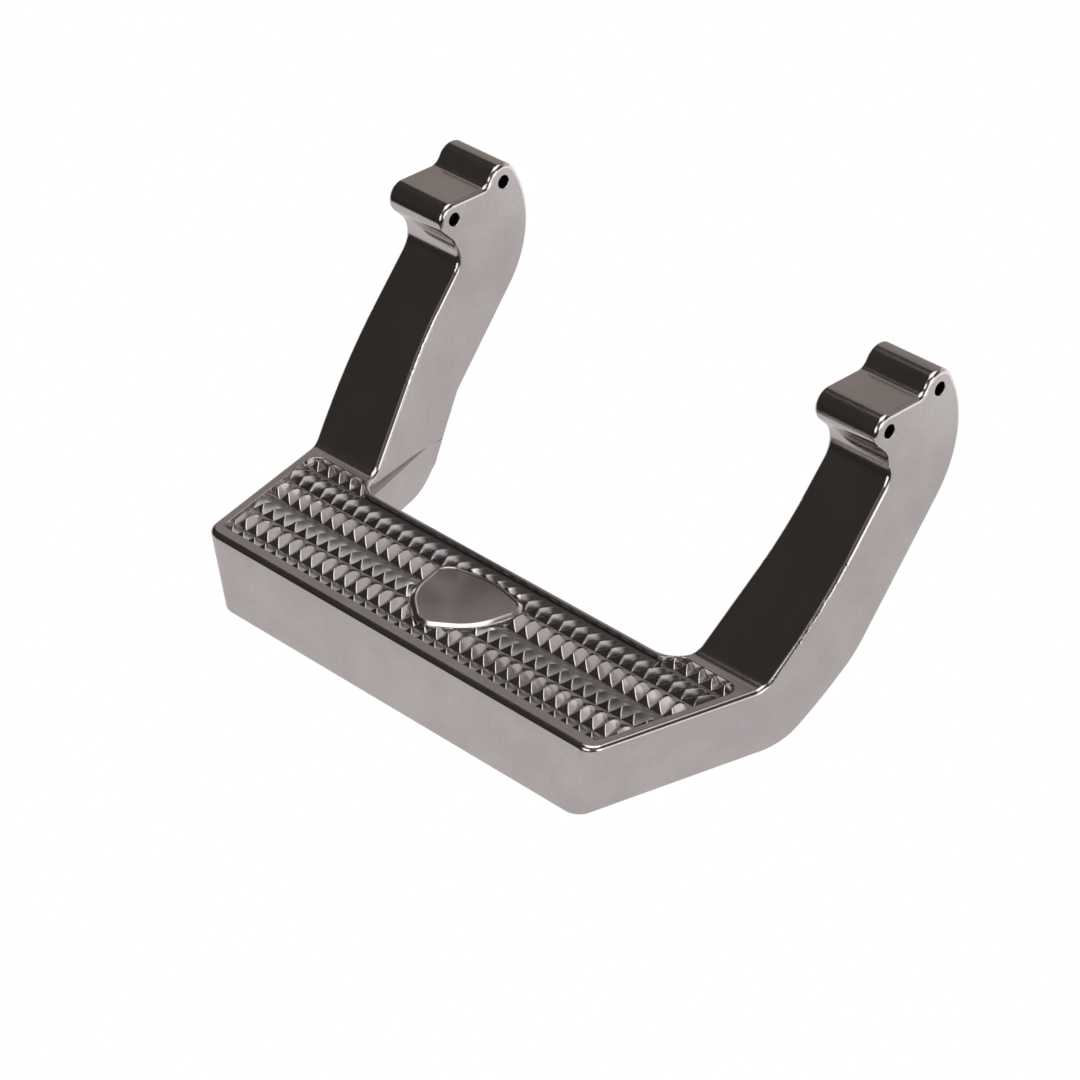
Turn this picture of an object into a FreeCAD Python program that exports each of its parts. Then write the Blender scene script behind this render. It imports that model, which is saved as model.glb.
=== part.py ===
"""Hoop truck step: one aluminium casting with a ribbed hollow tread and two channelled arms.

The frame is millimetres, +Z up. X runs along the tread, the tread's front faces -Y, and the
step stands on the bottom edge of its skirt at Z = 0.
"""
import FreeCAD, Part
import math
import os

import Sketcher

V = FreeCAD.Vector
doc = FreeCAD.newDocument("truck_step")

# driving dimensions, in millimetres and degrees

SIZES = [
    ("half_front", 178.0),       # half of the tread's front edge, corners left square
    ("half_reach", 218.0),       # half of the overall width, at the heads of the arms
    ("flare", 13.5),             # angle of the tread's ends, seen from above
    ("tread_height", 57.5),      # skirt's bottom edge to the rim
    ("tread_back", 108.0),       # front edge to the tread's back wall
    ("end_draft", 12.7),         # lean of the end skirts
    ("soft_bend", 70.0),         # the end skirt turns upright into the arm over this radius
    ("front_corner", 12.5),      # rounding of the front corners, seen from above
    ("bend_radius", 200.0),      # where an arm turns from the flare to straight back
    ("arm_width", 59.6),
    ("arm_taper", 1.66),         # the arms grow narrower towards their heads
    ("inner_bend", 185.0),       # depth at which the inner face turns straight back
    ("inner_radius", 150.0),
    ("middle_lap", 10.0),        # the two halves of the gap overlap in the middle
    ("web_radius", 19.0),        # sweep from the back wall into an arm
    ("foot_depth", 123.7),       # front edge to the foot of the arm's front face
    ("foot_radius", 13.0),
    ("lean", 50.0),              # arm's rise above the horizontal
    ("arm_depth", 56.7),         # front face to back edge, square to the arm
    ("heel_radius", 34.0),
    ("neck_slope", 45.0),
    ("neck_share", 0.675734),    # how much of the slope above it the neck's rounding takes up
    ("bolt_depth", 216.5),       # front bolt hole
    ("bolt_height", 208.5),
    ("bolt_pitch", 45.9),        # front hole to back hole, along the depth
    ("bolt_rise", 11.2),
    ("bolt_bore", 9.6),
    ("front_lobe", 12.0),
    ("back_lobe", 13.0),
    ("lobe_slope", 60.0),
    ("lobe_blend", 8.0),
    ("crown_share", 0.968705),   # how much of the slope above it the back's rounding takes up
    ("ledge_height", 48.5),      # top of the thicker lower part of an arm's inner wall
    ("ledge_depth", 5.0),
    ("ledge_end", 188.0),
    ("ledge_web", 14.0),
    ("cheek_bottom", 18.0),      # bottom edge of the back wall and the inner cheeks
    ("cheek_radius", 37.0),
    ("cheek_depth", 186.0),
    ("cheek_slope", 64.0),
    ("cheek_top", 79.0),
    ("cheek_outer", 172.0),
    ("edge_radius", 3.5),
    ("wall", 5.0),
    ("plate", 5.5),              # tread plate below the grip recess
    ("recess_depth", 5.0),
    ("rim_front", 10.5),         # front edge to the recess
    ("rim_end", 8.4),
    ("rim_back", 5.0),
    ("rim_corner", 9.0),
    ("ear_back", 114.0),         # the recess runs further back at both ends
    ("ear_inner", 146.0),
    ("ear_step", 9.0),
    ("rib", 4.0),
    ("rib_pitch", 69.0),
    ("rib_bottom", 14.0),
    ("cross_rib", 54.0),
    ("core_turn", 168.0),        # height at which the channel leaves the arm's front wall
    ("core_radius", 7.0),
    ("core_fillet", 3.0),
    ("head_web", 9.0),           # metal left between a bolt hole and the channel
    ("tooth_pitch", 10.67),      # along a row
    ("row_pitch", 20.55),
    ("row_start", 21.9),         # front edge to the first full row of teeth
    ("row_land", 0.9),           # flat strip of floor left between two rows
    ("tooth_rise", 5.4),         # depth of a tooth's sloping front
    ("tooth_bulge", 1.15),       # how far the bends of a tooth's back stand above a straight ramp
    ("tooth_seat", 1.0),         # how far the teeth run into the tray's floor
    ("row_0_valley", 3.0),       # for each row: where one valley starts, at the row's front,
    ("row_0_lean", 0.30),        # how far the valleys run to the right per millimetre of depth,
    ("row_0_crest", 0.50),       # and the crest's place between two valleys
    ("row_1_valley", -2.0),
    ("row_1_lean", -0.22),
    ("row_1_crest", 0.60),
    ("row_2_valley", 1.5),
    ("row_2_lean", 0.35),
    ("row_2_crest", 0.40),
    ("row_3_valley", -4.6),
    ("row_3_lean", -0.27),
    ("row_3_crest", 0.43),
    ("row_4_valley", 2.15),
    ("row_4_lean", 0.30),
    ("row_4_crest", 0.78),
    ("row_5_valley", -1.9),
    ("row_5_lean", -0.22),
    ("row_5_crest", 0.70),
    ("badge_front", 20.0),
    ("badge_back", 91.0),
    ("badge_half", 43.0),
    ("badge_shoulder", 84.0),
    ("badge_tip", 8.0),
    ("badge_corner", 10.0),
    ("badge_bulge", 60.0),
    ("badge_drop", 0.6),         # badge place below the rim
    ("badge_edge", 3.2),         # rounding of its edge
    ("badge_gap", 0.8),          # open strip of floor between it and the teeth
    ("badge_bead", 1.1),         # width of the bead round its flat middle
    ("badge_sink", 0.5),         # middle below the bead
]

sheet = doc.addObject("Spreadsheet::Sheet", "sizes")
for row, (alias, number) in enumerate(SIZES, start=1):
    sheet.set(f"A{row}", alias)
    sheet.set(f"B{row}", str(number))
    sheet.setAlias(f"B{row}", alias)
doc.recompute()

layout = doc.addObject("App::VarSet", "layout")
names = {alias: "sizes." + alias for alias, _ in SIZES}


def derive(name, expression):
    """Keep a worked-out size in the layout set, bound to the sheet."""
    layout.addProperty("App::PropertyFloat", name, "Worked out")
    layout.setExpression(name, expression)
    names[name] = "layout." + name


def bound(term):
    """Expression text and present value of a named size, which may carry a minus sign."""
    if isinstance(term, (int, float)):
        return str(term), float(term)
    sign = "-" if term.startswith("-") else ""
    name = term.lstrip("-")
    owner, prop = names[name].split(".")
    value = getattr(doc.getObject(owner), prop)
    return sign + names[name], -value if sign else value


def origin_plane(body, role):
    return next(item for item in body.Origin.OriginFeatures if item.Role == role)


def outline(body, name, role, corners, offset=None):
    """Closed sketch through corner points (x, y, radius), each corner sharp or rounded by its radius."""
    sketch = body.newObject("Sketcher::SketchObject", name)
    sketch.AttachmentSupport = (origin_plane(body, role), [""])
    sketch.MapMode = "FlatFace"
    if offset is not None:
        sketch.setExpression("AttachmentOffset.Base.z", bound(offset)[0])
    points = [V(bound(x)[1], bound(y)[1], 0) for x, y, _ in corners]
    count = len(corners)
    ends = []
    for i, (x, y, radius) in enumerate(corners):
        before = (points[i - 1] - points[i]).normalize()
        after = (points[(i + 1) % count] - points[i]).normalize()
        if radius is None:
            ends.append((points[i], points[i]))
            continue
        half_angle = before.getAngle(after) / 2
        reach = bound(radius)[1] / math.tan(half_angle)
        ends.append((points[i] + before * reach, points[i] + after * reach))
    lines = []
    for i in range(count):
        start, finish = ends[i][1], ends[(i + 1) % count][0]
        lines.append(sketch.addGeometry(Part.LineSegment(start, finish), False))

    def fix(geometry, place, x, y):
        for kind, term in (("DistanceX", x), ("DistanceY", y)):
            text, value = bound(term)
            index = sketch.addConstraint(Sketcher.Constraint(kind, -1, 1, geometry, place, value))
            if not isinstance(term, (int, float)):
                sketch.setExpression(f"Constraints[{index}]", text)

    for i, (x, y, radius) in enumerate(corners):
        line_in, line_out = lines[i - 1], lines[i]
        if radius is None:
            sketch.addConstraint(Sketcher.Constraint("Coincident", line_in, 2, line_out, 1))
            fix(line_out, 1, x, y)
            continue
        text, value = bound(radius)
        entry, leave = ends[i]
        inward = ((entry - points[i]) + (leave - points[i])).normalize()
        half_angle = (entry - points[i]).getAngle(leave - points[i]) / 2
        centre = points[i] + inward * (value / math.sin(half_angle))
        turn = (points[i] - entry).cross(leave - points[i]).z
        angles = [math.atan2(p.y - centre.y, p.x - centre.x) for p in (entry, leave)]
        first, last = angles if turn > 0 else reversed(angles)
        circle = Part.Circle(centre, V(0, 0, 1), value)
        arc = sketch.addGeometry(Part.ArcOfCircle(circle, first, last), False)
        at_entry, at_leave = (1, 2) if turn > 0 else (2, 1)
        corner = sketch.addGeometry(Part.Point(points[i]), True)
        fix(corner, 1, x, y)
        sketch.addConstraint(Sketcher.Constraint("Tangent", line_in, 2, arc, at_entry))
        sketch.addConstraint(Sketcher.Constraint("Tangent", line_out, 1, arc, at_leave))
        sketch.addConstraint(Sketcher.Constraint("PointOnObject", corner, 1, line_in))
        sketch.addConstraint(Sketcher.Constraint("PointOnObject", corner, 1, line_out))
        index = sketch.addConstraint(Sketcher.Constraint("Radius", arc, value))
        sketch.setExpression(f"Constraints[{index}]", text)
    doc.recompute()
    return sketch


def feature(body, kind, name, sketch, **settings):
    """Add a pad or a pocket; settings that name a size are bound to it."""
    item = body.newObject("PartDesign::" + kind, name)
    item.Profile = sketch
    for key, setting in settings.items():
        if key in ("Length", "TaperAngle", "Angle"):
            item.setExpression(key, bound(setting)[0])
        else:
            setattr(item, key, setting)
    doc.recompute()
    return item


def mirrored(body, name, originals):
    """Repeat features on the other side of the casting's middle plane."""
    item = body.newObject("PartDesign::Mirrored", name)
    item.Originals = originals
    item.MirrorPlane = (origin_plane(body, "YZ_Plane"), [""])
    body.Tip = item
    doc.recompute()
    return item


# worked-out places: Y is depth behind the front edge, the side view is (depth, height)

H = "sizes.tread_height"
LEAN = "tan(sizes.lean)"
derive("overall", "2 * sizes.half_reach")
derive("flat", "sizes.bolt_height + sizes.front_lobe")
derive("rear_bolt_y", "sizes.bolt_depth + sizes.bolt_pitch")
derive("rear_bolt_z", "sizes.bolt_height + sizes.bolt_rise")
derive("heel_y", f"sizes.foot_depth + sizes.arm_depth / sin(sizes.lean) - {H} / {LEAN}")
derive("lobe_top", "layout.rear_bolt_z + sizes.back_lobe / cos(sizes.lobe_slope)")
derive("crown_z", "(layout.rear_bolt_y + layout.lobe_top / tan(sizes.lobe_slope) - layout.heel_y)"
                  f" / (1 / {LEAN} + 1 / tan(sizes.lobe_slope))")
derive("crown_y", f"layout.heel_y + layout.crown_z / {LEAN}")
derive("blend_y", "layout.rear_bolt_y - (sizes.back_lobe + (layout.rear_bolt_z - layout.flat)"
                  " * cos(sizes.lobe_slope)) / sin(sizes.lobe_slope)")
derive("neck_reach", "sizes.bolt_depth * sin(sizes.neck_slope)"
                     " + sizes.bolt_height * cos(sizes.neck_slope) - sizes.front_lobe")
derive("lobe_y", "(layout.neck_reach - layout.flat * cos(sizes.neck_slope)) / sin(sizes.neck_slope)")
derive("foot_start", f"sizes.foot_depth - {H} / {LEAN}")
derive("neck_z", "(layout.neck_reach - layout.foot_start * sin(sizes.neck_slope))"
                 f" / (sin(sizes.neck_slope) / {LEAN} + cos(sizes.neck_slope))")
derive("neck_y", f"layout.foot_start + layout.neck_z / {LEAN}")
derive("cheek_back", "sizes.cheek_depth"
                     " + (sizes.cheek_top - sizes.cheek_bottom) / tan(sizes.cheek_slope)")
derive("cheek_width", "2 * sizes.cheek_outer")
derive("bend_x", "sizes.half_reach - sizes.bend_radius")
derive("bend_y", "(sizes.bend_radius - (sizes.half_front - layout.bend_x) * cos(sizes.flare))"
                 " / sin(sizes.flare)")
derive("drop", f"{H} * tan(sizes.end_draft)")
derive("inner_front", "sizes.half_front - sizes.arm_width / cos(sizes.flare)"
                      " + sizes.tread_back * tan(sizes.flare)")
derive("inner_reach", "layout.inner_front + (sizes.inner_bend - sizes.tread_back) * tan(sizes.flare)")
derive("ledge_front", "layout.inner_front - sizes.ledge_depth / cos(sizes.flare)")
derive("ceiling", f"{H} - sizes.recess_depth - sizes.plate")
derive("core_foot_y", f"layout.foot_start + sizes.wall / sin(sizes.lean) + layout.ceiling / {LEAN}")
derive("core_turn_y", f"layout.foot_start + sizes.wall / sin(sizes.lean) + sizes.core_turn / {LEAN}")
derive("floor", f"{H} - sizes.recess_depth")
derive("seat", "layout.floor - sizes.tooth_seat")
derive("back_step", "(sizes.row_pitch - sizes.row_land - sizes.tooth_rise) / 3")
derive("brow_height", "layout.floor + sizes.recess_depth * 2 / 3 + sizes.tooth_bulge")
derive("nape_height", "layout.floor + sizes.recess_depth / 3 + sizes.tooth_bulge")
derive("badge_height", "sizes.recess_depth - sizes.badge_drop")
derive("badge_top", f"{H} - sizes.badge_drop")
derive("badge_inset", "sizes.badge_edge + sizes.badge_bead")
TIP_HALF = "atan(sizes.badge_half / (sizes.badge_shoulder - sizes.badge_front))"
BACK_HALF = "atan(sizes.badge_half / (sizes.badge_back - sizes.badge_shoulder))"
for tag, inset in (("middle", "layout.badge_inset"), ("clear", "(-sizes.badge_gap)")):
    derive(tag + "_front", f"sizes.badge_front + {inset} / sin({TIP_HALF})")
    derive(tag + "_back", f"sizes.badge_back - {inset} / sin({BACK_HALF})")
    derive(tag + "_shoulder", f"(layout.{tag}_front * tan({TIP_HALF}) + layout.{tag}_back * tan({BACK_HALF}))"
                              f" / (tan({TIP_HALF}) + tan({BACK_HALF}))")
    derive(tag + "_half", f"(layout.{tag}_shoulder - layout.{tag}_front) * tan({TIP_HALF})")
    derive(tag + "_tip", f"sizes.badge_tip - {inset}")
    derive(tag + "_corner", f"sizes.badge_corner - {inset}")
    derive(tag + "_bulge", f"sizes.badge_bulge - {inset}")
derive("wall_foot_front", "sizes.tread_back - 2 * sizes.wall")
derive("tray_front", "sizes.half_front + sizes.rim_front * tan(sizes.flare)"
                     " - sizes.rim_end / cos(sizes.flare)")
derive("tray_end", "layout.tray_front + (sizes.ear_back - sizes.rim_front) * tan(sizes.flare)")
derive("tray_back", "sizes.tread_back - sizes.rim_back")
derive("ear_root", "sizes.ear_inner - sizes.ear_step")
derive("core_back_y", "layout.rear_bolt_y - sizes.head_web")
derive("core_back_z", "sizes.bolt_height")
derive("core_head_y", "sizes.bolt_depth + sizes.front_lobe + sizes.wall")
derive("core_mouth", "layout.core_back_z - 2 * sizes.head_web")
derive("rib_left", "-2 * sizes.rib_pitch - sizes.rib / 2")
derive("rib_right", "-2 * sizes.rib_pitch + sizes.rib / 2")
derive("cross_front", "sizes.cross_rib - sizes.rib / 2")
derive("cross_back", "sizes.cross_rib + sizes.rib / 2")
derive("cross_height", "layout.ceiling - sizes.rib_bottom")
derive("neck_space", "(layout.flat - layout.neck_z) / sin(sizes.neck_slope)"
                     " - sizes.front_lobe * tan(90 - sizes.neck_slope / 2)")
derive("neck_round", "sizes.neck_share * layout.neck_space * tan((sizes.lean + sizes.neck_slope) / 2)")
derive("crown_space", "(layout.lobe_top - layout.crown_z) / sin(sizes.lobe_slope)"
                      " - sizes.back_lobe * tan(sizes.lobe_slope)")
derive("crown_reach", "sizes.crown_share * layout.crown_space")
derive("crown_round", "layout.crown_reach / tan(90 - (sizes.lean + sizes.lobe_slope) / 2)")
derive("depth", "layout.crown_y - layout.crown_reach * cos(sizes.lean)"
                " - layout.crown_round * sin(sizes.lean) + layout.crown_round")

TEETH_EACH_SIDE = 20
for tag, inset in (("form", "0"), ("core", "sizes.wall")):
    share = inset + " / cos(sizes.flare)"
    derive(tag + "_face", "sizes.bend_radius - " + inset)
    derive(tag + "_foot", "sizes.bend_radius - layout.drop - " + inset)
    derive(tag + "_front", "layout.inner_front + " + share)
    derive(tag + "_reach", "layout.inner_reach + " + inset)
    derive(tag + "_ledge", "layout.ledge_front + " + share)
    derive(tag + "_back", "sizes.tread_back - " + inset)
    derive(tag + "_web", "sizes.web_radius + " + inset)
    derive(tag + "_ledge_web", "sizes.ledge_web + " + inset)
for tag, place in [(f"row_{row}_", row - 1) for row in range(6)]:
    derive(tag + "front", f"sizes.row_start + {place} * sizes.row_pitch")
    derive(tag + "apex", f"layout.{tag}front + sizes.tooth_rise")
    derive(tag + "brow", f"layout.{tag}apex + layout.back_step")
    derive(tag + "nape", f"layout.{tag}apex + layout.back_step * 2")
    derive(tag + "tail", f"layout.{tag}front + sizes.row_pitch - sizes.row_land")
    derive(tag + "end", f"layout.{tag}front + sizes.row_pitch")
    derive(tag + "first", f"sizes.{tag}valley - {TEETH_EACH_SIDE} * sizes.tooth_pitch")
    derive(tag + "left", f"layout.{tag}first - (1 - sizes.{tag}crest) * sizes.tooth_pitch")
    derive(tag + "right", f"layout.{tag}first + sizes.{tag}crest * sizes.tooth_pitch")
doc.recompute()

BEYOND = 320.0    # past the back of everything
ABOVE = 260.0     # past the top
SPAN = 80.0       # past the widest point, from an arm's outer face


def side_section(body, tag, name, turned):
    """Section of the air outside an arm, drawn about the upright axis that the arm bends round."""
    face, foot = tag + "_face", tag + "_foot"
    sketch = outline(body, f"{tag}_{name}", "XZ_Plane", [
        (foot, 0, None), (face, "tread_height", "soft_bend"), (face, ABOVE, None),
        (ABOVE + SPAN, ABOVE, None), (ABOVE + SPAN, 0, None)])
    turn = FreeCAD.Rotation(V(0, -1, 0), sheet.flare if turned else 0)
    sketch.AttachmentOffset = FreeCAD.Placement(V(0, 0, 0), turn)
    sketch.setExpression("AttachmentOffset.Base.x", "layout.bend_x")
    sketch.setExpression("AttachmentOffset.Base.z", "-layout.bend_y")
    if turned:
        sketch.setExpression("AttachmentOffset.Rotation.Angle", "sizes.flare")
    doc.recompute()
    return sketch


def cut_outside(body, tag):
    """Cut away what lies outside the ends and the arms' outer faces."""
    turned = side_section(body, tag, "flare_section", True)
    straight = side_section(body, tag, "straight_section", False)
    cuts = [
        feature(body, "Pocket", tag + "_flare_cut", turned, Length=BEYOND, Reversed=True),
        feature(body, "Groove", tag + "_bend_cut", turned, Angle="flare",
                ReferenceAxis=(turned, ["V_Axis"])),
        feature(body, "Pocket", tag + "_straight_cut", straight, Length=BEYOND),
    ]
    mirrored(body, tag + "_left_cuts", cuts)


def cut_gap(body, tag):
    """Cut the gap between the arms, wider above the ledge than below it."""
    front, reach, ledge, back = (f"{tag}_{key}" for key in ("front", "reach", "ledge", "back"))
    upper = outline(body, tag + "_gap_above", "XY_Plane", [
        ("-middle_lap", back, None), (front, back, tag + "_web"), (reach, "inner_bend", "inner_radius"),
        (reach, BEYOND, None), ("-middle_lap", BEYOND, None)], offset="ledge_height")
    lower = outline(body, tag + "_gap_below", "XY_Plane", [
        ("-middle_lap", back, None), (ledge, back, tag + "_ledge_web"), (reach, "ledge_end", None),
        (reach, BEYOND, None), ("-middle_lap", BEYOND, None)], offset="ledge_height")
    lean = V(math.tan(math.radians(sheet.arm_taper)), 0, 1)
    cuts = [
        feature(body, "Pocket", tag + "_gap_above_cut", upper, Length=ABOVE,
                UseCustomVector=True, Direction=lean),
        feature(body, "Pocket", tag + "_gap_below_cut", lower, Length="ledge_height"),
    ]
    mirrored(body, tag + "_gaps", cuts)


def middle(edge):
    return edge.valueAt((edge.FirstParameter + edge.LastParameter) / 2)


def along_x(face):
    """Whether a face belongs to the side view, so that nowhere on it the normal has an X part."""
    first_u, last_u, first_v, last_v = face.ParameterRange
    for share in (0.1, 0.5, 0.9):
        normal = face.normalAt(first_u + (last_u - first_u) * share, first_v + (last_v - first_v) * share)
        if abs(normal.x) > 1e-3:
            return False
    return True


def rim_edges(shape):
    """Names of the edges round the rim and up both arms, inside and outside."""
    owners = {}
    for face in shape.Faces:
        for edge in face.Edges:
            owners.setdefault(edge.hashCode(), []).append(face)
    chosen = []
    for index, edge in enumerate(shape.Edges, start=1):
        faces = owners[edge.hashCode()]
        box = edge.BoundBox
        if len(faces) != 2 or box.ZMax < 0.1:
            continue
        sides = sum(along_x(face) for face in faces)
        outer = abs(middle(edge).x) > sheet.cheek_outer - 2
        above_ledge = box.ZMin > sheet.ledge_height + 0.5
        across = box.XLength > sheet.half_front
        if (sides == 1 and (outer or above_ledge)) or (sides == 2 and across and above_ledge):
            chosen.append(f"Edge{index}")
    return chosen


def corner_edges(shape):
    """Names of the upright edges at the tread's front corners."""
    return [f"Edge{index}" for index, edge in enumerate(shape.Edges, start=1)
            if abs(middle(edge).y) < 0.1 and edge.BoundBox.ZLength > 5 and edge.BoundBox.XLength < 20]


def badge_edges(shape):
    """Names of the edges round the top of the badge place."""
    level = sheet.tread_height - sheet.badge_drop
    return [f"Edge{index}" for index, edge in enumerate(shape.Edges, start=1)
            if abs(edge.BoundBox.ZMin - level) < 1e-3 and abs(edge.BoundBox.ZMax - level) < 1e-3]


def rounded(body, name, choose, radius):
    item = body.newObject("PartDesign::Fillet", name)
    base = body.Tip if body.Tip is not item else item.BaseFeature
    item.Base = (base, choose(base.Shape))
    item.setExpression("Radius", bound(radius)[0])
    body.Tip = item
    doc.recompute()
    return item


def both_sides(corners):
    """Complete an outline that is the same on either side of X = 0."""
    return corners + [("-" + x if isinstance(x, str) else -x, y, r) for x, y, r in reversed(corners) if x]


TRAY_CORNERS = both_sides([
    ("tray_front", "rim_front", "rim_corner"), ("tray_end", "ear_back", "rim_corner"),
    ("ear_inner", "ear_back", "rim_corner"), ("ear_root", "tray_back", "rim_corner")])


def around_badge(tag):
    """Corners of the badge place's outline, moved in or out."""
    return [(0, tag + "_front", tag + "_tip"), (tag + "_half", tag + "_shoulder", tag + "_corner"),
            (0, tag + "_back", tag + "_bulge"), (f"-{tag}_half", tag + "_shoulder", tag + "_corner")]


def make_form():
    """The casting's outside as one solid block."""
    body = doc.addObject("PartDesign::Body", "form")
    side = outline(body, "side_view", "YZ_Plane", [
        (0, 0, None), ("heel_y", 0, "heel_radius"), ("crown_y", "crown_z", "crown_round"),
        ("rear_bolt_y", "lobe_top", "back_lobe"), ("blend_y", "flat", "lobe_blend"),
        ("lobe_y", "flat", "front_lobe"), ("neck_y", "neck_z", "neck_round"),
        ("foot_depth", "tread_height", "foot_radius"), (0, "tread_height", None)])
    feature(body, "Pad", "side_block", side, SideType="Symmetric", Length="overall")
    cheek = outline(body, "cheek_view", "YZ_Plane", [
        ("tread_back", "cheek_bottom", None), ("cheek_depth", "cheek_bottom", "cheek_radius"),
        ("cheek_back", "cheek_top", None)])
    feature(body, "Pad", "cheek_block", cheek, SideType="Symmetric", Length="cheek_width")
    cut_outside(body, "form")
    cut_gap(body, "form")
    rounded(body, "front_corners", corner_edges, "front_corner")
    rounded(body, "rim_rounding", rim_edges, "edge_radius")
    under = outline(body, "wall_foot", "XY_Plane", both_sides([
        ("cheek_outer", "wall_foot_front", None), ("cheek_outer", BEYOND, None)]), offset="cheek_bottom")
    feature(body, "Pocket", "wall_foot_cut", under, Length="cheek_bottom")
    cut_recess(body)
    add_badge_place(body)
    cut_bolt_holes(body)
    return body


def cut_recess(body):
    """The shallow tray in the tread's top that holds the grip, deeper at both ends."""
    tray = outline(body, "recess_outline", "XY_Plane", TRAY_CORNERS, offset="tread_height")
    feature(body, "Pocket", "recess", tray, Length="recess_depth")


def add_badge_place(body):
    """A bare rounded triangle in the middle of the grip, pointing to the front, with a bead round it."""
    place = outline(body, "badge_outline", "XY_Plane", around_badge("badge"), offset="floor")
    feature(body, "Pad", "badge_place", place, Length="badge_height")
    rounded(body, "badge_rounding", badge_edges, "badge_edge")
    middle_part = outline(body, "badge_middle", "XY_Plane", around_badge("middle"), offset="badge_top")
    feature(body, "Pocket", "badge_sinking", middle_part, Length="badge_sink")


def cut_bolt_holes(body):
    sketch = body.newObject("Sketcher::SketchObject", "bolt_circles")
    sketch.AttachmentSupport = (origin_plane(body, "YZ_Plane"), [""])
    sketch.MapMode = "FlatFace"
    for depth, height in (("bolt_depth", "bolt_height"), ("rear_bolt_y", "rear_bolt_z")):
        centre = V(bound(depth)[1], bound(height)[1], 0)
        hole = sketch.addGeometry(Part.Circle(centre, V(0, 0, 1), sheet.bolt_bore / 2), False)
        for kind, term, number in (("DistanceX", depth, centre.x), ("DistanceY", height, centre.y)):
            index = sketch.addConstraint(Sketcher.Constraint(kind, -1, 1, hole, 3, number))
            sketch.setExpression(f"Constraints[{index}]", bound(term)[0])
        index = sketch.addConstraint(Sketcher.Constraint("Diameter", hole, sheet.bolt_bore))
        sketch.setExpression(f"Constraints[{index}]", "sizes.bolt_bore")
    feature(body, "Pocket", "bolt_holes", sketch, SideType="Symmetric", Length="overall")


def make_core():
    """The hollow: the space under the tread plate, which runs on up the back of both arms."""
    body = doc.addObject("PartDesign::Body", "core")
    side = outline(body, "core_view", "YZ_Plane", [
        ("wall", 0, None), (BEYOND, 0, None), (BEYOND, "core_mouth", None),
        ("core_back_y", "core_back_z", "core_radius"), ("core_head_y", "core_back_z", "core_radius"),
        ("core_turn_y", "core_turn", "core_radius"), ("core_foot_y", "ceiling", "core_radius"),
        ("wall", "ceiling", "core_fillet")])
    feature(body, "Pad", "core_block", side, SideType="Symmetric", Length="overall")
    cut_outside(body, "core")
    cut_gap(body, "core")
    leave_ribs(body)
    return body


def leave_ribs(body):
    """Slots in the core, which become the ribs under the tread plate."""
    rib = outline(body, "rib_plan", "XY_Plane", [
        ("rib_left", 0, None), ("rib_right", 0, None), ("rib_right", "tread_back", None),
        ("rib_left", "tread_back", None)], offset="rib_bottom")
    slot = feature(body, "Pocket", "rib_slot", rib, Length=ABOVE, Reversed=True)
    pattern = body.newObject("PartDesign::LinearPattern", "rib_slots")
    pattern.Originals = [slot]
    pattern.Direction = (origin_plane(body, "X_Axis"), [""])
    pattern.Occurrences = 5
    pattern.setExpression("Length", "sizes.rib_pitch * 4")
    body.Tip = pattern
    doc.recompute()
    cross = outline(body, "cross_rib_plan", "XY_Plane", both_sides([
        ("half_reach", "cross_front", None), ("half_reach", "cross_back", None)]), offset="rib_bottom")
    feature(body, "Pocket", "cross_rib_slot", cross, Length="cross_height", Reversed=True)


def make_tooth_row(row):
    """One row of teeth right across: a ridge with a steep front, parted by leaning V-shaped valleys."""
    body = doc.addObject("PartDesign::Body", f"row_{row}")
    tag = f"row_{row}_"
    ridge = outline(body, tag + "profile", "YZ_Plane", [
        (tag + "front", "seat", None), (tag + "front", "floor", None), (tag + "apex", "tread_height", None),
        (tag + "brow", "brow_height", None), (tag + "nape", "nape_height", None),
        (tag + "tail", "floor", None), (tag + "end", "floor", None), (tag + "end", "seat", None)])
    feature(body, "Pad", tag + "ridge", ridge, SideType="Symmetric", Length="overall")
    notch = outline(body, tag + "notch", "XZ_Plane", [
        (tag + "first", "floor", None), (tag + "right", "tread_height", None),
        (tag + "left", "tread_height", None)])
    notch.setExpression("AttachmentOffset.Base.z", f"-layout.{tag}front")
    doc.recompute()
    lean = V(getattr(sheet, tag + "lean"), 1, 0)
    valley = feature(body, "Pocket", tag + "valley", notch, Length="row_pitch",
                     UseCustomVector=True, Direction=lean)
    pattern = body.newObject("PartDesign::LinearPattern", tag + "valleys")
    pattern.Originals = [valley]
    pattern.Direction = (origin_plane(body, "X_Axis"), [""])
    pattern.Occurrences = 2 * TEETH_EACH_SIDE + 1
    pattern.setExpression("Length", f"sizes.tooth_pitch * {2 * TEETH_EACH_SIDE}")
    body.Tip = pattern
    doc.recompute()
    return body


def make_grip():
    """All the tooth rows, trimmed to the tray and kept off the badge place."""
    rows = doc.addObject("Part::MultiFuse", "tooth_rows")
    rows.Shapes = [make_tooth_row(row) for row in range(6)]
    bed = doc.addObject("PartDesign::Body", "tray_space")
    tray = outline(bed, "tray_outline", "XY_Plane", TRAY_CORNERS, offset="seat")
    feature(bed, "Pad", "tray_block", tray, Length=ABOVE)
    place = outline(bed, "badge_clearance", "XY_Plane", around_badge("clear"), offset="seat")
    feature(bed, "Pocket", "badge_space", place, Length=ABOVE, Reversed=True)
    grip = doc.addObject("Part::MultiCommon", "grip")
    grip.Shapes = [rows, bed]
    doc.recompute()
    return grip


def make_casting():
    form, core = make_form(), make_core()
    hollow = doc.addObject("Part::Cut", "hollow_form")
    hollow.Base = form
    hollow.Tool = core
    casting = doc.addObject("Part::Fuse", "step_casting")
    casting.Base = hollow
    casting.Tool = make_grip()
    casting.Label = "step_casting"
    casting.setExpression("Placement.Base.y", "-layout.depth / 2")
    doc.recompute()
    return casting


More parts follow.
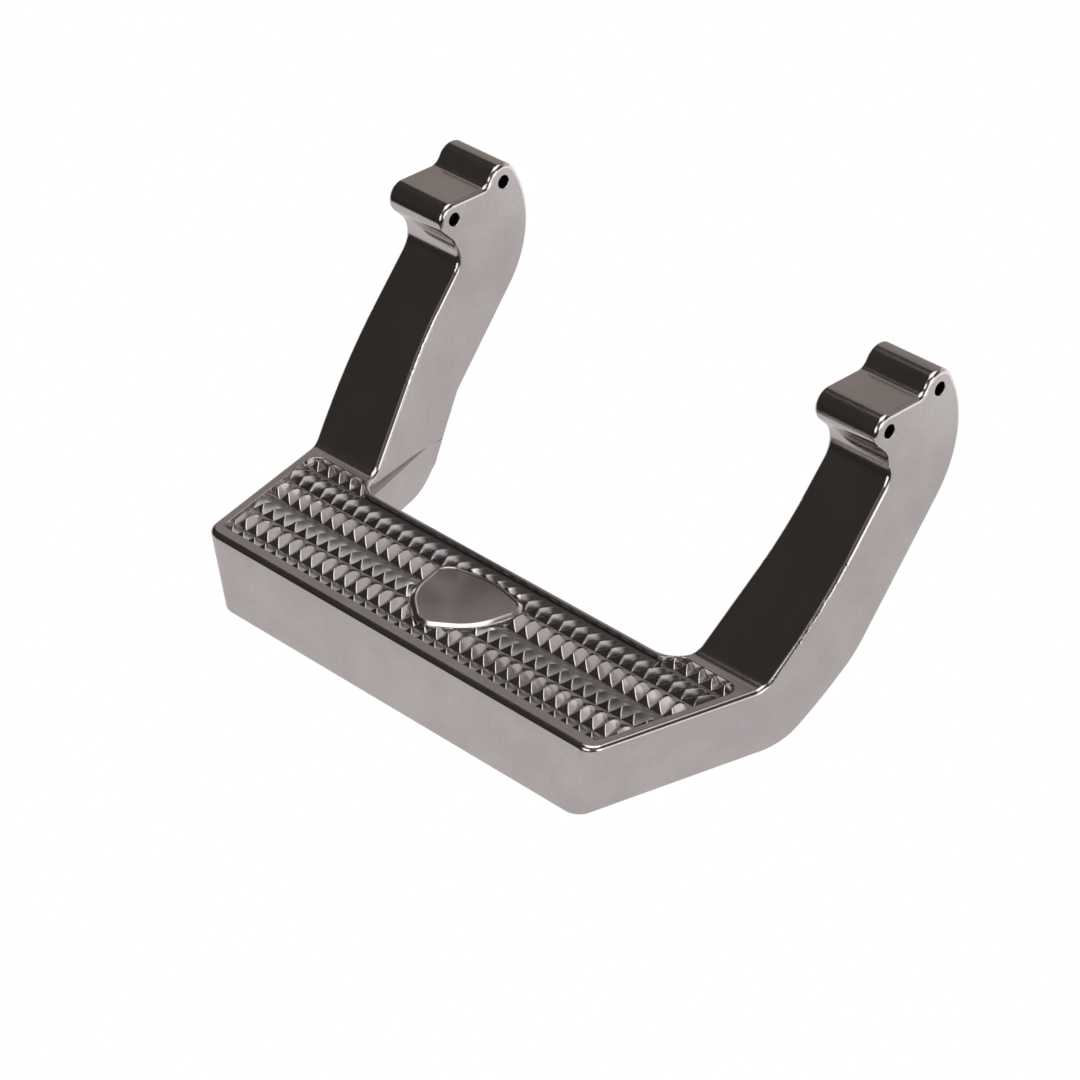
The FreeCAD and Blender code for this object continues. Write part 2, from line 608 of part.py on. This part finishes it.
def check_document():
    """Stop if any object failed or any shape is missing or broken."""
    for item in doc.Objects:
        if "Invalid" in item.State or "Error" in item.State:
            raise RuntimeError(f"{item.Label}: {item.State}")
        if item.TypeId.startswith("Sketcher") and item.solve() != 0:
            raise RuntimeError(f"{item.Label} does not solve")
    for label, item in NODES.items():
        if item.Shape.isNull() or not item.Shape.isValid() or len(item.Shape.Solids) != 1:
            raise RuntimeError(f"{label} has no single valid solid")


NODES = {"step_casting": make_casting()}
check_document()
os.makedirs("parts", exist_ok=True)
for label, item in NODES.items():
    item.Shape.exportStep(f"parts/{label}.step")
    box = item.Shape.optimalBoundingBox()
    print(label, round(item.Shape.Volume), "mm3,", [round(side, 2) for side in
          (box.XMin, box.XMax, box.YMin, box.YMax, box.ZMin, box.ZMax)])
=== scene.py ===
"""Looks for a polished cast hoop step: the casting, its finish, the studio and the camera."""
import math

import bmesh
import bpy
from mathutils import Matrix, Vector


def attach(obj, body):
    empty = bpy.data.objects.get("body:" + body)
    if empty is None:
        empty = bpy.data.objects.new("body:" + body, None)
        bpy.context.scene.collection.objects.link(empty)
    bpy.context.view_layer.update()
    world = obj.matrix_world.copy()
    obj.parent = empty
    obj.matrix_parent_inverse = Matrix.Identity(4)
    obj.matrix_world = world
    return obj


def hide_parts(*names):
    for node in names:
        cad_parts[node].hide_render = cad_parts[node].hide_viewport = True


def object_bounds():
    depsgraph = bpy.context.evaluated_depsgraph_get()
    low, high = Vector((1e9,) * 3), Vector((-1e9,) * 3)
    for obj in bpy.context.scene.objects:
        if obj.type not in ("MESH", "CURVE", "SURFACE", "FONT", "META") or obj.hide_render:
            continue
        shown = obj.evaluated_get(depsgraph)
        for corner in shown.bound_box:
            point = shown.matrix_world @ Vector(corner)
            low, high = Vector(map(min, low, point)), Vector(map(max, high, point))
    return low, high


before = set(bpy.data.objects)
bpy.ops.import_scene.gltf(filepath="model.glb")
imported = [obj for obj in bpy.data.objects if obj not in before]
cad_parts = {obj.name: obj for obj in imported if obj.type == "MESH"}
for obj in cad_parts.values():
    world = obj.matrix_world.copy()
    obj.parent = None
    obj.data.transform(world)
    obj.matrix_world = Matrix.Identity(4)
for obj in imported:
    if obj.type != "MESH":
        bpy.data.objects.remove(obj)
cad_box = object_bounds()

MM = 1000                     # millimetres in a metre
AXES = ((1, 0, 0), (0, 1, 0), (0, 0, 1))

# sizes in metres, as the casting's source has them

FRONT = cad_box[0][1]         # the tread's front edge
TREAD_TOP = 0.0575
TRAY_FLOOR = 0.0525
TOOTH_PITCH = 0.01067
ROW_PITCH = 0.02055
ROW_START = 0.0219            # where the first whole row of teeth starts, behind the front edge
ROW_LAND = 0.0009             # flat ground between two rows
TEETH = 39

# outlines in millimetres: place along X, depth behind the front edge, corner radius
TRAY = [(171.88, 10.5, 9), (196.73, 114, 9), (146, 114, 9), (137, 103, 9),
        (-137, 103, 9), (-146, 114, 9), (-196.73, 114, 9), (-171.88, 10.5, 9)]
BADGE = [(0, 21, 16), (31, 44, 42), (40.5, 84.5, 13), (0, 93, 75), (-40.5, 84.5, 13), (-31, 44, 42)]

# nodes


def feed(node, sockets):
    """Give a node's inputs, by name or by place, their values or links."""
    for key, given in sockets.items():
        given = given.socket if isinstance(given, Socket) else given
        if isinstance(given, bpy.types.NodeSocket):
            node.id_data.links.new(given, node.inputs[key])
        else:
            node.inputs[key].default_value = given


def add_node(tree, kind, settings=None, sockets=None):
    """A new node of a kind, with its settings set before its inputs."""
    node = tree.nodes.new(kind)
    for key, setting in (settings or {}).items():
        setattr(node, key, setting)
    feed(node, sockets or {})
    return node


class Socket:
    """A shader socket that can be added, multiplied and compared like a number."""

    def __init__(self, tree, socket):
        self.tree = tree
        self.socket = socket

    def through(self, kind, settings, *given, output=0):
        """An output of a new node whose inputs are fed in order."""
        return Socket(self.tree, add_node(self.tree, kind, settings, dict(enumerate(given))).outputs[output])

    def maths(self, operation, *others):
        return self.through("ShaderNodeMath", {"operation": operation}, self, *others)

    def __add__(self, other):
        return self.maths("ADD", other)

    __radd__ = __add__

    def __sub__(self, other):
        return self.maths("SUBTRACT", other)

    def __rsub__(self, other):
        return self.through("ShaderNodeMath", {"operation": "SUBTRACT"}, other, self)

    def __mul__(self, other):
        return self.maths("MULTIPLY", other)

    __rmul__ = __mul__

    def __truediv__(self, other):
        return self.maths("DIVIDE", other)

    def between(self, low, high):
        """0 below low, 1 above high, eased in between."""
        return self.through("ShaderNodeMapRange", {"interpolation_type": "SMOOTHSTEP"}, self, low, high, 0.0, 1.0)

    def within(self, middle, half, soft):
        """1 near the middle, 0 further away than half, with a soft edge."""
        return 1.0 - (self - middle).maths("ABSOLUTE").between(half - soft / 2, half + soft / 2)

    def dot(self, direction):
        return self.through("ShaderNodeVectorMath", {"operation": "DOT_PRODUCT"}, self, direction, output=1)

    def blend(self, low, high):
        """A colour between low at 0 and high at 1."""
        low, high = (colour if isinstance(colour, Socket) else (*colour, 1.0) for colour in (low, high))
        mixed = add_node(self.tree, "ShaderNodeMix", {"data_type": "RGBA"}, {0: self, 6: low, 7: high})
        return Socket(self.tree, mixed.outputs[2])


def source(tree, kind, name):
    """A node's output by its name, as the start of an expression."""
    return Socket(tree, add_node(tree, kind).outputs[name])


def scaled(colour, share):
    return tuple(shade * share for shade in colour)


def new_material(name):
    """A material, its node tree and its shader."""
    material = bpy.data.materials.new(name)
    material.use_nodes = True
    return material, material.node_tree, material.node_tree.nodes["Principled BSDF"]


# the finish, with shade painted in the grip

METAL = (0.63, 0.592, 0.588)
DULL_SHARES = (0.93, 0.895, 0.91)     # the dull clouds' colour over the metal's
BRIGHT_SHARE = 1.055
PAINTED_SHADE_SHARE = 0.30                     # the darkest painted shade, between the teeth

# where the grip's painted shade and rougher finish lie: middle and half of its depth, half its width in front, how
# that widens
GRIP_DEPTH, GRIP_HALF, GRIP_SIDE, GRIP_SPREAD = 0.0623, 0.0522, 0.169, 0.24
BADGE_DEPTH, BADGE_WIDE, BADGE_LONG = 0.060, 0.042, 0.038
SOFT = 0.001                          # how softly that painted shade and rougher finish start


def polished_casting():
    """Aluminium polished by hand: faint waves, cloudy tint and grain; painted shade and a rougher finish down in
    the grip, both stronger in every second row.
    """
    material, tree, shader = new_material("polished_casting")
    place = source(tree, "ShaderNodeTexCoord", "Object")

    def noise(scale, detail, roughness=0.5):
        made = add_node(tree, "ShaderNodeTexNoise", None,
                        {"Vector": place, "Scale": scale, "Detail": detail, "Roughness": roughness})
        return Socket(tree, made.outputs["Fac"])

    across, back, up = (place.dot(axis) for axis in AXES)
    wide = across.maths("ABSOLUTE")
    deep = back - FRONT
    grip = (up.between(TRAY_FLOOR - SOFT, TRAY_FLOOR) * deep.within(GRIP_DEPTH, GRIP_HALF, SOFT)
            * (1.0 - (wide - deep * GRIP_SPREAD).between(GRIP_SIDE - SOFT / 2, GRIP_SIDE + SOFT / 2))
            * (1.0 - up.between(TREAD_TOP, TREAD_TOP + 0.0003)))
    badge = (across / BADGE_WIDE).maths("POWER", 2.0) + ((deep - BADGE_DEPTH) / BADGE_LONG).maths("POWER", 2.0)
    grip = grip * badge.between(0.98, 1.02)
    # every second row of the grip: where the painted shade is deepest and the finish roughest
    painted_shade_row = ((deep - ROW_START) / (2 * ROW_PITCH)).maths("FRACT").between(0.495, 0.505)

    cloud = noise(28.0, 3.0)
    grain = noise(420.0, 3.0, 0.7)
    tint = cloud.between(0.3, 0.7) * 0.6 + grain.between(0.3, 0.7) * 0.4
    polished = tint.blend(tuple(shade * share for shade, share in zip(METAL, DULL_SHARES)),
                          scaled(METAL, BRIGHT_SHARE))
    # painted shade: the grip's recess a little darker, every second row much darker, with grain in it
    painted_shade = grip * (0.1 + painted_shade_row * (0.22 + grain * 0.55))
    waves = noise(60.0, 2.0) + grain * 0.12
    bump = add_node(tree, "ShaderNodeBump", None, {"Strength": 0.25, "Distance": 0.0002, "Height": waves})
    feed(shader, {
        "Metallic": 1.0,
        "Base Color": painted_shade.blend(polished, scaled(METAL, PAINTED_SHADE_SHARE)),
        "Roughness": 0.10 + cloud * 0.05 + grain * 0.06 + grip * (0.02 + painted_shade_row * 0.07),
        "Normal": bump.outputs["Normal"],
    })
    return material


# meshes


def as_mesh(work, name):
    """A mesh from a closed shell, with its faces turned outwards."""
    bmesh.ops.recalc_face_normals(work, faces=work.faces)
    mesh = bpy.data.meshes.new(name)
    work.to_mesh(mesh)
    work.free()
    return mesh


def placed(mesh, name):
    piece = bpy.data.objects.new(name, mesh)
    bpy.context.collection.objects.link(piece)
    return piece


def evaluated(piece):
    """The mesh that an object's modifiers give; the object itself is removed."""
    shape = bpy.data.meshes.new_from_object(piece.evaluated_get(bpy.context.evaluated_depsgraph_get()))
    bpy.data.objects.remove(piece)
    return shape


def cut(mesh, operation, tool):
    """The mesh that is left after an exact boolean with a tool object."""
    piece = placed(mesh, "cut")
    trim = piece.modifiers.new("trim", "BOOLEAN")
    trim.operation = operation
    trim.solver = "EXACT"
    trim.object = tool
    return evaluated(piece)


def band(work, low, high):
    """Faces between two rings of corners."""
    for i in range(len(low)):
        work.faces.new((low[i - 1], low[i], high[i], high[i - 1]))


def lofted(rings, name):
    """A closed shell through rings of spots, capped at both ends."""
    work = bmesh.new()
    rings = [[work.verts.new(spot) for spot in ring] for ring in rings]
    for low, high in zip(rings, rings[1:]):
        band(work, low, high)
    for end in (rings[0], rings[-1]):
        work.faces.new(end)
    return as_mesh(work, name)


ROUND_STEPS = 8


def rounded_outline(corners, height, out=0.0):
    """Spots at a height round a closed outline with rounded corners, moved outwards by out metres."""
    points = []
    for i, (x, y, radius) in enumerate(corners):
        here = Vector((x, y))
        before = (Vector(corners[i - 1][:2]) - here).normalized()
        after = (Vector(corners[(i + 1) % len(corners)][:2]) - here).normalized()
        half = before.angle(after) / 2
        centre = here + (before + after).normalized() * radius / math.sin(half)
        first = here + before * radius / math.tan(half) - centre
        last = here + after * radius / math.tan(half) - centre
        swing = first.angle_signed(last)
        for step in range(ROUND_STEPS + 1):
            turned = first.copy()
            turned.rotate(Matrix.Rotation(-swing * step / ROUND_STEPS, 2))
            points.append((centre + turned) / MM)
    area = sum(points[i - 1].cross(point) for i, point in enumerate(points))
    spots = []
    for i, point in enumerate(points):
        along = (points[(i + 1) % len(points)] - points[i - 1]).normalized()
        beside = Vector((along.y, -along.x)) * (1 if area > 0 else -1)
        spot = point + beside * out
        spots.append((spot.x, spot.y + FRONT, height))
    return spots


# the grip: fins in rows, each with a flat front and two flanks that sweep down behind it

# first valley in millimetres, lean of the valleys, crest's place between two valleys: each row from the front
ROWS = [(3.0, 0.30, 0.50), (-2.0, -0.22, 0.60), (1.5, 0.35, 0.40), (-4.6, -0.27, 0.43),
        (2.15, 0.30, 0.78), (-1.9, -0.22, 0.70)]
# how far into its row a fin starts, how deep its sloping front is and how tall it stands
WHOLE_ROW = (0.0, 0.0054, 0.00495)
FIRST_ROW = (0.01125, 0.0036, 0.004)
WIDE_FLANK = 0.35                     # a flank over this share of the pitch gets one more step
WIDE_STEPS = (0.0, 0.4, 0.75, 1.0)
NARROW_STEPS = (0.0, 0.5, 1.0)
BACKWARD = (0.0, 0.1, 0.22, 0.36, 0.5, 0.64, 0.78, 0.9, 1.0)
FLANK_HOLLOW = 1.15                   # above 1 a flank is hollow
TAIL_SWEEP = 1.9                      # above 1 the crest falls slowly at first
GRIP_SEAT = 0.001                     # a row reaches this far below its ground
GRIP_LIFT = 0.00003                   # a row's ground stands this far off the tray's floor
MERGE = 1e-7


def tooth_cell(lean, crest, begin, rise, tall):
    """One fin between two valleys, with the ground it stands on, as a mesh that fits its neighbours."""
    tail = ROW_PITCH - ROW_LAND
    columns = []
    for start, end in ((0.0, crest), (1.0, crest)):
        steps = WIDE_STEPS if abs(end - start) > WIDE_FLANK else NARROW_STEPS
        side = [(start + (end - start) * share, share ** FLANK_HOLLOW) for share in steps]
        columns += side if start == 0.0 else side[-2::-1]
    work = bmesh.new()
    grid = []
    for place, share in columns:
        front = begin + rise * share
        spots = [(0.0, -GRIP_SEAT), (0.0, 0.0), (begin, 0.0)]
        for step in BACKWARD:
            depth = front + (tail - front) * step
            fall = max(0.0, (depth - begin - rise) / (tail - begin - rise))
            spots.append((depth, tall * share * (1.0 - fall ** TAIL_SWEEP)))
        spots += [(ROW_PITCH, 0.0), (ROW_PITCH, -GRIP_SEAT)]
        grid.append([work.verts.new((place * TOOTH_PITCH + lean * depth, depth, height))
                     for depth, height in spots])
    for left, right in zip(grid, grid[1:]):
        for row in range(len(left)):
            after = (row + 1) % len(left)
            work.faces.new((left[row], right[row], right[after], left[after]))
    bmesh.ops.remove_doubles(work, verts=work.verts, dist=MERGE)
    bmesh.ops.dissolve_degenerate(work, edges=work.edges, dist=MERGE)
    mesh = bpy.data.meshes.new("tooth")
    work.to_mesh(mesh)
    work.free()
    return mesh


def row_tree(material):
    """Geometry Nodes: a tooth repeated along X at a pitch, its shared edges merged."""
    tree = bpy.data.node_groups.new("tooth_row", "GeometryNodeTree")
    for name, kind in (("Tooth", "Geometry"), ("Teeth", "Int"), ("Pitch", "Float"), ("First", "Float")):
        tree.interface.new_socket(name, in_out="INPUT", socket_type="NodeSocket" + kind)
    tree.interface.new_socket("Row", in_out="OUTPUT", socket_type="NodeSocketGeometry")
    given = add_node(tree, "NodeGroupInput").outputs
    start = add_node(tree, "ShaderNodeCombineXYZ", None, {"X": given["First"]})
    step = add_node(tree, "ShaderNodeCombineXYZ", None, {"X": given["Pitch"]})
    line = add_node(tree, "GeometryNodeMeshLine", None, {
        "Count": given["Teeth"], "Start Location": start.outputs[0], "Offset": step.outputs[0]})
    spread = add_node(tree, "GeometryNodeInstanceOnPoints", None, {
        "Points": line.outputs[0], "Instance": given["Tooth"]})
    real = add_node(tree, "GeometryNodeRealizeInstances", None, {"Geometry": spread.outputs[0]})
    merge = add_node(tree, "GeometryNodeMergeByDistance", None, {"Geometry": real.outputs[0], "Distance": 1e-6})
    finish = add_node(tree, "GeometryNodeSetMaterial", None, {
        "Geometry": merge.outputs[0], "Material": material})
    add_node(tree, "NodeGroupOutput", None, {"Row": finish.outputs[0]})
    return tree


def tooth_row(row, tree):
    """A closed row of fins, right across the tread."""
    valley, lean, crest = ROWS[row]
    piece = placed(tooth_cell(lean, crest, *(WHOLE_ROW if row else FIRST_ROW)), "row")
    repeat = piece.modifiers.new("row", "NODES")
    repeat.node_group = tree
    names = {item.name: item.identifier for item in tree.interface.items_tree if item.in_out == "INPUT"}
    repeat[names["Teeth"]] = TEETH
    repeat[names["Pitch"]] = TOOTH_PITCH
    repeat[names["First"]] = valley / MM - (TEETH // 2 + 1) * TOOTH_PITCH
    mesh = evaluated(piece)
    work = bmesh.new()
    work.from_mesh(mesh)
    bmesh.ops.holes_fill(work, edges=[edge for edge in work.edges if edge.is_boundary], sides=0)
    bmesh.ops.recalc_face_normals(work, faces=work.faces)
    shift = Vector((0.0, FRONT + ROW_START + (row - 1) * ROW_PITCH, TRAY_FLOOR + GRIP_LIFT))
    bmesh.ops.translate(work, verts=work.verts, vec=shift)
    work.to_mesh(mesh)
    work.free()
    return mesh


# sections in millimetres: the badge place's edge, inwards and below its top; the ledge, depth and height
BADGE_EDGE = [(0, 5), (0, 2.1), (0.4, 1.5), (2.6, 0.1), (3.0, 0), (3.6, 0), (4.1, 0.7)]
LEDGE = [(96.5, -0.3), (96.5, 0.0), (101.5, 1.9), (103.05, 1.9), (103.05, -0.3)]
BADGE_TOP = TREAD_TOP - 0.0002
LEDGE_REACH = (TRAY[3][0] - 0.5) / MM


def badge_place():
    """The bare badge place: a raised edge with a broad outer slope, round a sunk plate."""
    return lofted([rounded_outline(BADGE, BADGE_TOP - below / MM, -inside / MM) for inside, below in BADGE_EDGE],
                  "badge_place")


def back_ledge():
    """The ground rising behind the last whole row, up to the tray's back wall."""
    return lofted([[(side * LEDGE_REACH, FRONT + depth / MM, TRAY_FLOOR + height / MM) for depth, height in LEDGE]
                   for side in (-1, 1)], "back_ledge")


TOOL_TOP = TREAD_TOP + 0.003
TRAY_CUT, TRAY_CUT_DEEP = 0.00004, 0.00002     # how far the plain teeth are cut out past the tray's walls and floor
ROW_SPARE = 0.00006                            # how far the rows reach into the tray's walls
BADGE_GAP = 0.0008


def tray_tool(name, bottom, *outlines):
    """The room inside the first outline and outside the others, as a tool that trims or cuts."""
    work = bmesh.new()
    caps = [[], []]
    for corners, out in outlines:
        rings = [[work.verts.new(spot) for spot in rounded_outline(corners, height, out)]
                 for height in (bottom, TOOL_TOP)]
        for cap, ring in zip(caps, rings):
            cap += [work.edges.new((ring[i - 1], corner)) for i, corner in enumerate(ring)]
        band(work, *rings)
    for edges in caps:
        bmesh.ops.triangle_fill(work, edges=edges, use_beauty=True)
    return placed(as_mesh(work, name), name)


def with_fins(mesh, material):
    """The casting with its plain teeth cut out down to the tray's floor, and the rows of fins stood there."""
    emptier = tray_tool("tray_cut", TRAY_FLOOR - TRAY_CUT_DEEP, (TRAY, TRAY_CUT))
    space = tray_tool("grip_space", TRAY_FLOOR - GRIP_SEAT / 2, (TRAY, ROW_SPARE), (BADGE, BADGE_GAP))
    work = bmesh.new()
    work.from_mesh(cut(mesh, "DIFFERENCE", emptier))
    tree = row_tree(material)
    for row in range(len(ROWS)):
        work.from_mesh(cut(tooth_row(row, tree), "INTERSECT", space))
    for extra in (badge_place(), back_ledge()):
        work.from_mesh(extra)
    for tool in (emptier, space):
        bpy.data.objects.remove(tool)
    return work


# the casting

FLAT = math.radians(0.3)              # faces that turn less than this become one
EDGE_TURN = math.radians(24)          # a corner sharper than this is a real edge
EDGE_ROUND = 0.00038                  # how far a real edge is rounded off


def mark_edges(work):
    """Every face smooth; the real edges sharp, and the outward ones marked for rounding."""
    layers = work.edges.layers.float
    weight = layers.get("bevel_weight_edge") or layers.new("bevel_weight_edge")
    for edge in work.edges:
        if len(edge.link_faces) == 2:
            turn = edge.calc_face_angle_signed(0.0)
            edge[weight] = 1.0 if turn > EDGE_TURN else 0.0
            edge.smooth = abs(turn) < EDGE_TURN
    for face in work.faces:
        face.smooth = True
        face.material_index = 0


def finished_casting(node, material):
    """The casting's own mesh with the grip's fins, its real edges rounded off."""
    mesh = node.data.copy()
    mesh.name = "casting"
    merged = bmesh.new()
    merged.from_mesh(mesh)
    bmesh.ops.remove_doubles(merged, verts=merged.verts, dist=1e-6)
    merged.to_mesh(mesh)
    merged.free()
    work = with_fins(mesh, material)
    bmesh.ops.dissolve_limit(work, angle_limit=FLAT, verts=work.verts, edges=work.edges)
    mark_edges(work)
    work.to_mesh(mesh)
    work.free()
    mesh.materials.clear()
    mesh.materials.append(material)
    piece = placed(mesh, "casting")
    rounding = piece.modifiers.new("rounding", "BEVEL")
    rounding.limit_method = "WEIGHT"
    rounding.width = EDGE_ROUND
    rounding.segments = 2
    rounding.use_clamp_overlap = False
    weighted = piece.modifiers.new("weighted", "WEIGHTED_NORMAL")
    weighted.keep_sharp = True
    return piece


casting = finished_casting(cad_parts["step_casting"], polished_casting())
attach(casting, "root")
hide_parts("step_casting")

# the studio

STUDIO_WHITE = 0.65                   # how bright the studio's plain white stands in the metal
WHITE = (1.0, 1.0, 1.0)
FLOOR_HALF = 6.0
FLOOR_NEAR = (1.0, 0.985, 0.975)
FLOOR_FAR = (1.9, 1.9, 1.9)
FLOOR_DARK = (0.03, 0.028, 0.026)
FAR_WAY, FAR_FROM, FAR_TO = (0.15, 1.0, 0), 0.36, 0.75      # behind the step the floor is lit brighter
DARK_WAY, DARK_FROM, DARK_TO = (0, -1, 0), 0.195, 0.235     # in front of it the floor's light ends


def white_floor():
    """A pale table: white to the camera; in the metal, dark in front of the step and brighter far behind it."""
    corners = [(-FLOOR_HALF, -FLOOR_HALF, 0), (FLOOR_HALF, -FLOOR_HALF, 0),
               (FLOOR_HALF, FLOOR_HALF, 0), (-FLOOR_HALF, FLOOR_HALF, 0)]
    mesh = bpy.data.meshes.new("floor")
    mesh.from_pydata(corners, [], [(0, 1, 2, 3)])
    material, tree, shader = new_material("floor")
    feed(shader, {"Base Color": (0.9, 0.9, 0.9, 1.0), "Roughness": 1.0})
    place = source(tree, "ShaderNodeTexCoord", "Object")
    lit = place.dot(FAR_WAY).between(FAR_FROM, FAR_TO).blend(scaled(FLOOR_NEAR, STUDIO_WHITE),
                                                             scaled(FLOOR_FAR, STUDIO_WHITE))
    seen = place.dot(DARK_WAY).between(DARK_FROM, DARK_TO).blend(lit, FLOOR_DARK)
    shown = shader
    for ray, colour in (("Is Glossy Ray", seen), ("Is Camera Ray", (*WHITE, 1.0))):
        light = add_node(tree, "ShaderNodeEmission", None, {"Color": colour})
        shown = add_node(tree, "ShaderNodeMixShader", None, {
            0: source(tree, "ShaderNodeLightPath", ray), 1: shown.outputs[0], 2: light.outputs[0]})
    feed(tree.nodes["Material Output"], {"Surface": shown.outputs[0]})
    mesh.materials.append(material)
    return placed(mesh, "floor")


white_floor()

# each card in degrees: turn and half its width, rise and half its height, soft edge; then its brightness and tint
CARDS = [
    ("back wall", 32, 58, -4, 17, 8, (2.0, 1.98, 1.95)),
    ("bright wall behind", 10, 26, 20, 15, 10, (1.0, 0.98, 0.96)),
    ("dark right side", 68, 24, 40, 21, 8, (0.10, 0.095, 0.09)),
    ("dark front left", -114, 52, 20, 42, 8, (0.062, 0.056, 0.051)),
    ("front right wall", 135, 42, 22, 30, 10, (0.17, 0.16, 0.155)),
    ("softbox right", 97, 19, 8, 22, 5, (2.8, 2.8, 2.8)),
    ("softbox front", 172, 18, 8, 22, 5, (2.8, 2.8, 2.8)),
]
ROOM_LOW, ROOM_HIGH = (0.47, 0.43, 0.40), (0.28, 0.26, 0.25)
ROOM_FROM, ROOM_TO = 25, 75           # the rise over which the room darkens
# the softbox overhead, on a ceiling 1 up: its two ways, middle and half along the first, half along the second
CEILING_ALONG, CEILING_SIDE = (-0.7071, 0.7071, 0), (0.7071, 0.7071, 0)
OVERHEAD_MIDDLE, OVERHEAD_HALF, OVERHEAD_SIDE, OVERHEAD_SOFT = -0.09, 0.45, 0.48, 0.12
OVERHEAD = (2.7, 2.7, 2.7)


def studio_world():
    """White to the camera; in the metal a dim warm room with soft cards, and a softbox overhead."""
    world = bpy.data.worlds.new("studio")
    bpy.context.scene.world = world
    world.use_nodes = True
    tree = world.node_tree
    way = source(tree, "ShaderNodeTexCoord", "Generated")
    across, ahead, up = (way.dot(axis) for axis in AXES)
    turn = across.maths("ARCTAN2", ahead) * math.degrees(1)
    rise = up.maths("ARCSINE") * math.degrees(1)
    light = rise.between(ROOM_FROM, ROOM_TO).blend(scaled(ROOM_LOW, STUDIO_WHITE), scaled(ROOM_HIGH, STUDIO_WHITE))
    for _, middle, half, level, half_level, soft, colour in CARDS:
        round_it = (turn - middle).maths("WRAP", 180.0, -180.0)
        mask = round_it.within(0.0, half, soft) * rise.within(level, half_level, soft)
        light = mask.blend(light, scaled(colour, STUDIO_WHITE))
    flat = up.maths("MAXIMUM", 0.02)
    along = way.dot(CEILING_ALONG) / flat
    side = way.dot(CEILING_SIDE) / flat
    overhead = (along.within(OVERHEAD_MIDDLE, OVERHEAD_HALF, OVERHEAD_SOFT)
                * side.within(0.0, OVERHEAD_SIDE, OVERHEAD_SOFT) * up.between(0.3, 0.4))
    light = overhead.blend(light, scaled(OVERHEAD, STUDIO_WHITE))
    shown = source(tree, "ShaderNodeLightPath", "Is Camera Ray").blend(light, WHITE)
    feed(tree.nodes["Background"], {"Color": shown})


studio_world()

# the camera

CAMERA_TURN = math.radians(45.325)    # to the right of straight ahead
CAMERA_RISE = math.radians(32.473)
CAMERA_REACH = 2.6008
CAMERA_LENS = 140.53
CAMERA_SENSOR = 36.0
AIM = Vector((0.07325, -0.082198, 0.1348))


def place_camera():
    """The camera at the photograph's angle, aimed at the middle of its frame."""
    data = bpy.data.cameras.new("camera")
    data.lens = CAMERA_LENS
    data.sensor_width = CAMERA_SENSOR
    data.sensor_fit = "HORIZONTAL"
    data.clip_end = 30.0
    camera = placed(data, "camera")
    away = Vector((math.cos(CAMERA_RISE) * math.sin(CAMERA_TURN),
                   -math.cos(CAMERA_RISE) * math.cos(CAMERA_TURN), math.sin(CAMERA_RISE)))
    camera.location = AIM + away * CAMERA_REACH
    camera.rotation_euler = (-away).to_track_quat("-Z", "Y").to_euler()
    bpy.context.scene.camera = camera


place_camera()
bpy.context.scene.view_settings.view_transform = "Standard"
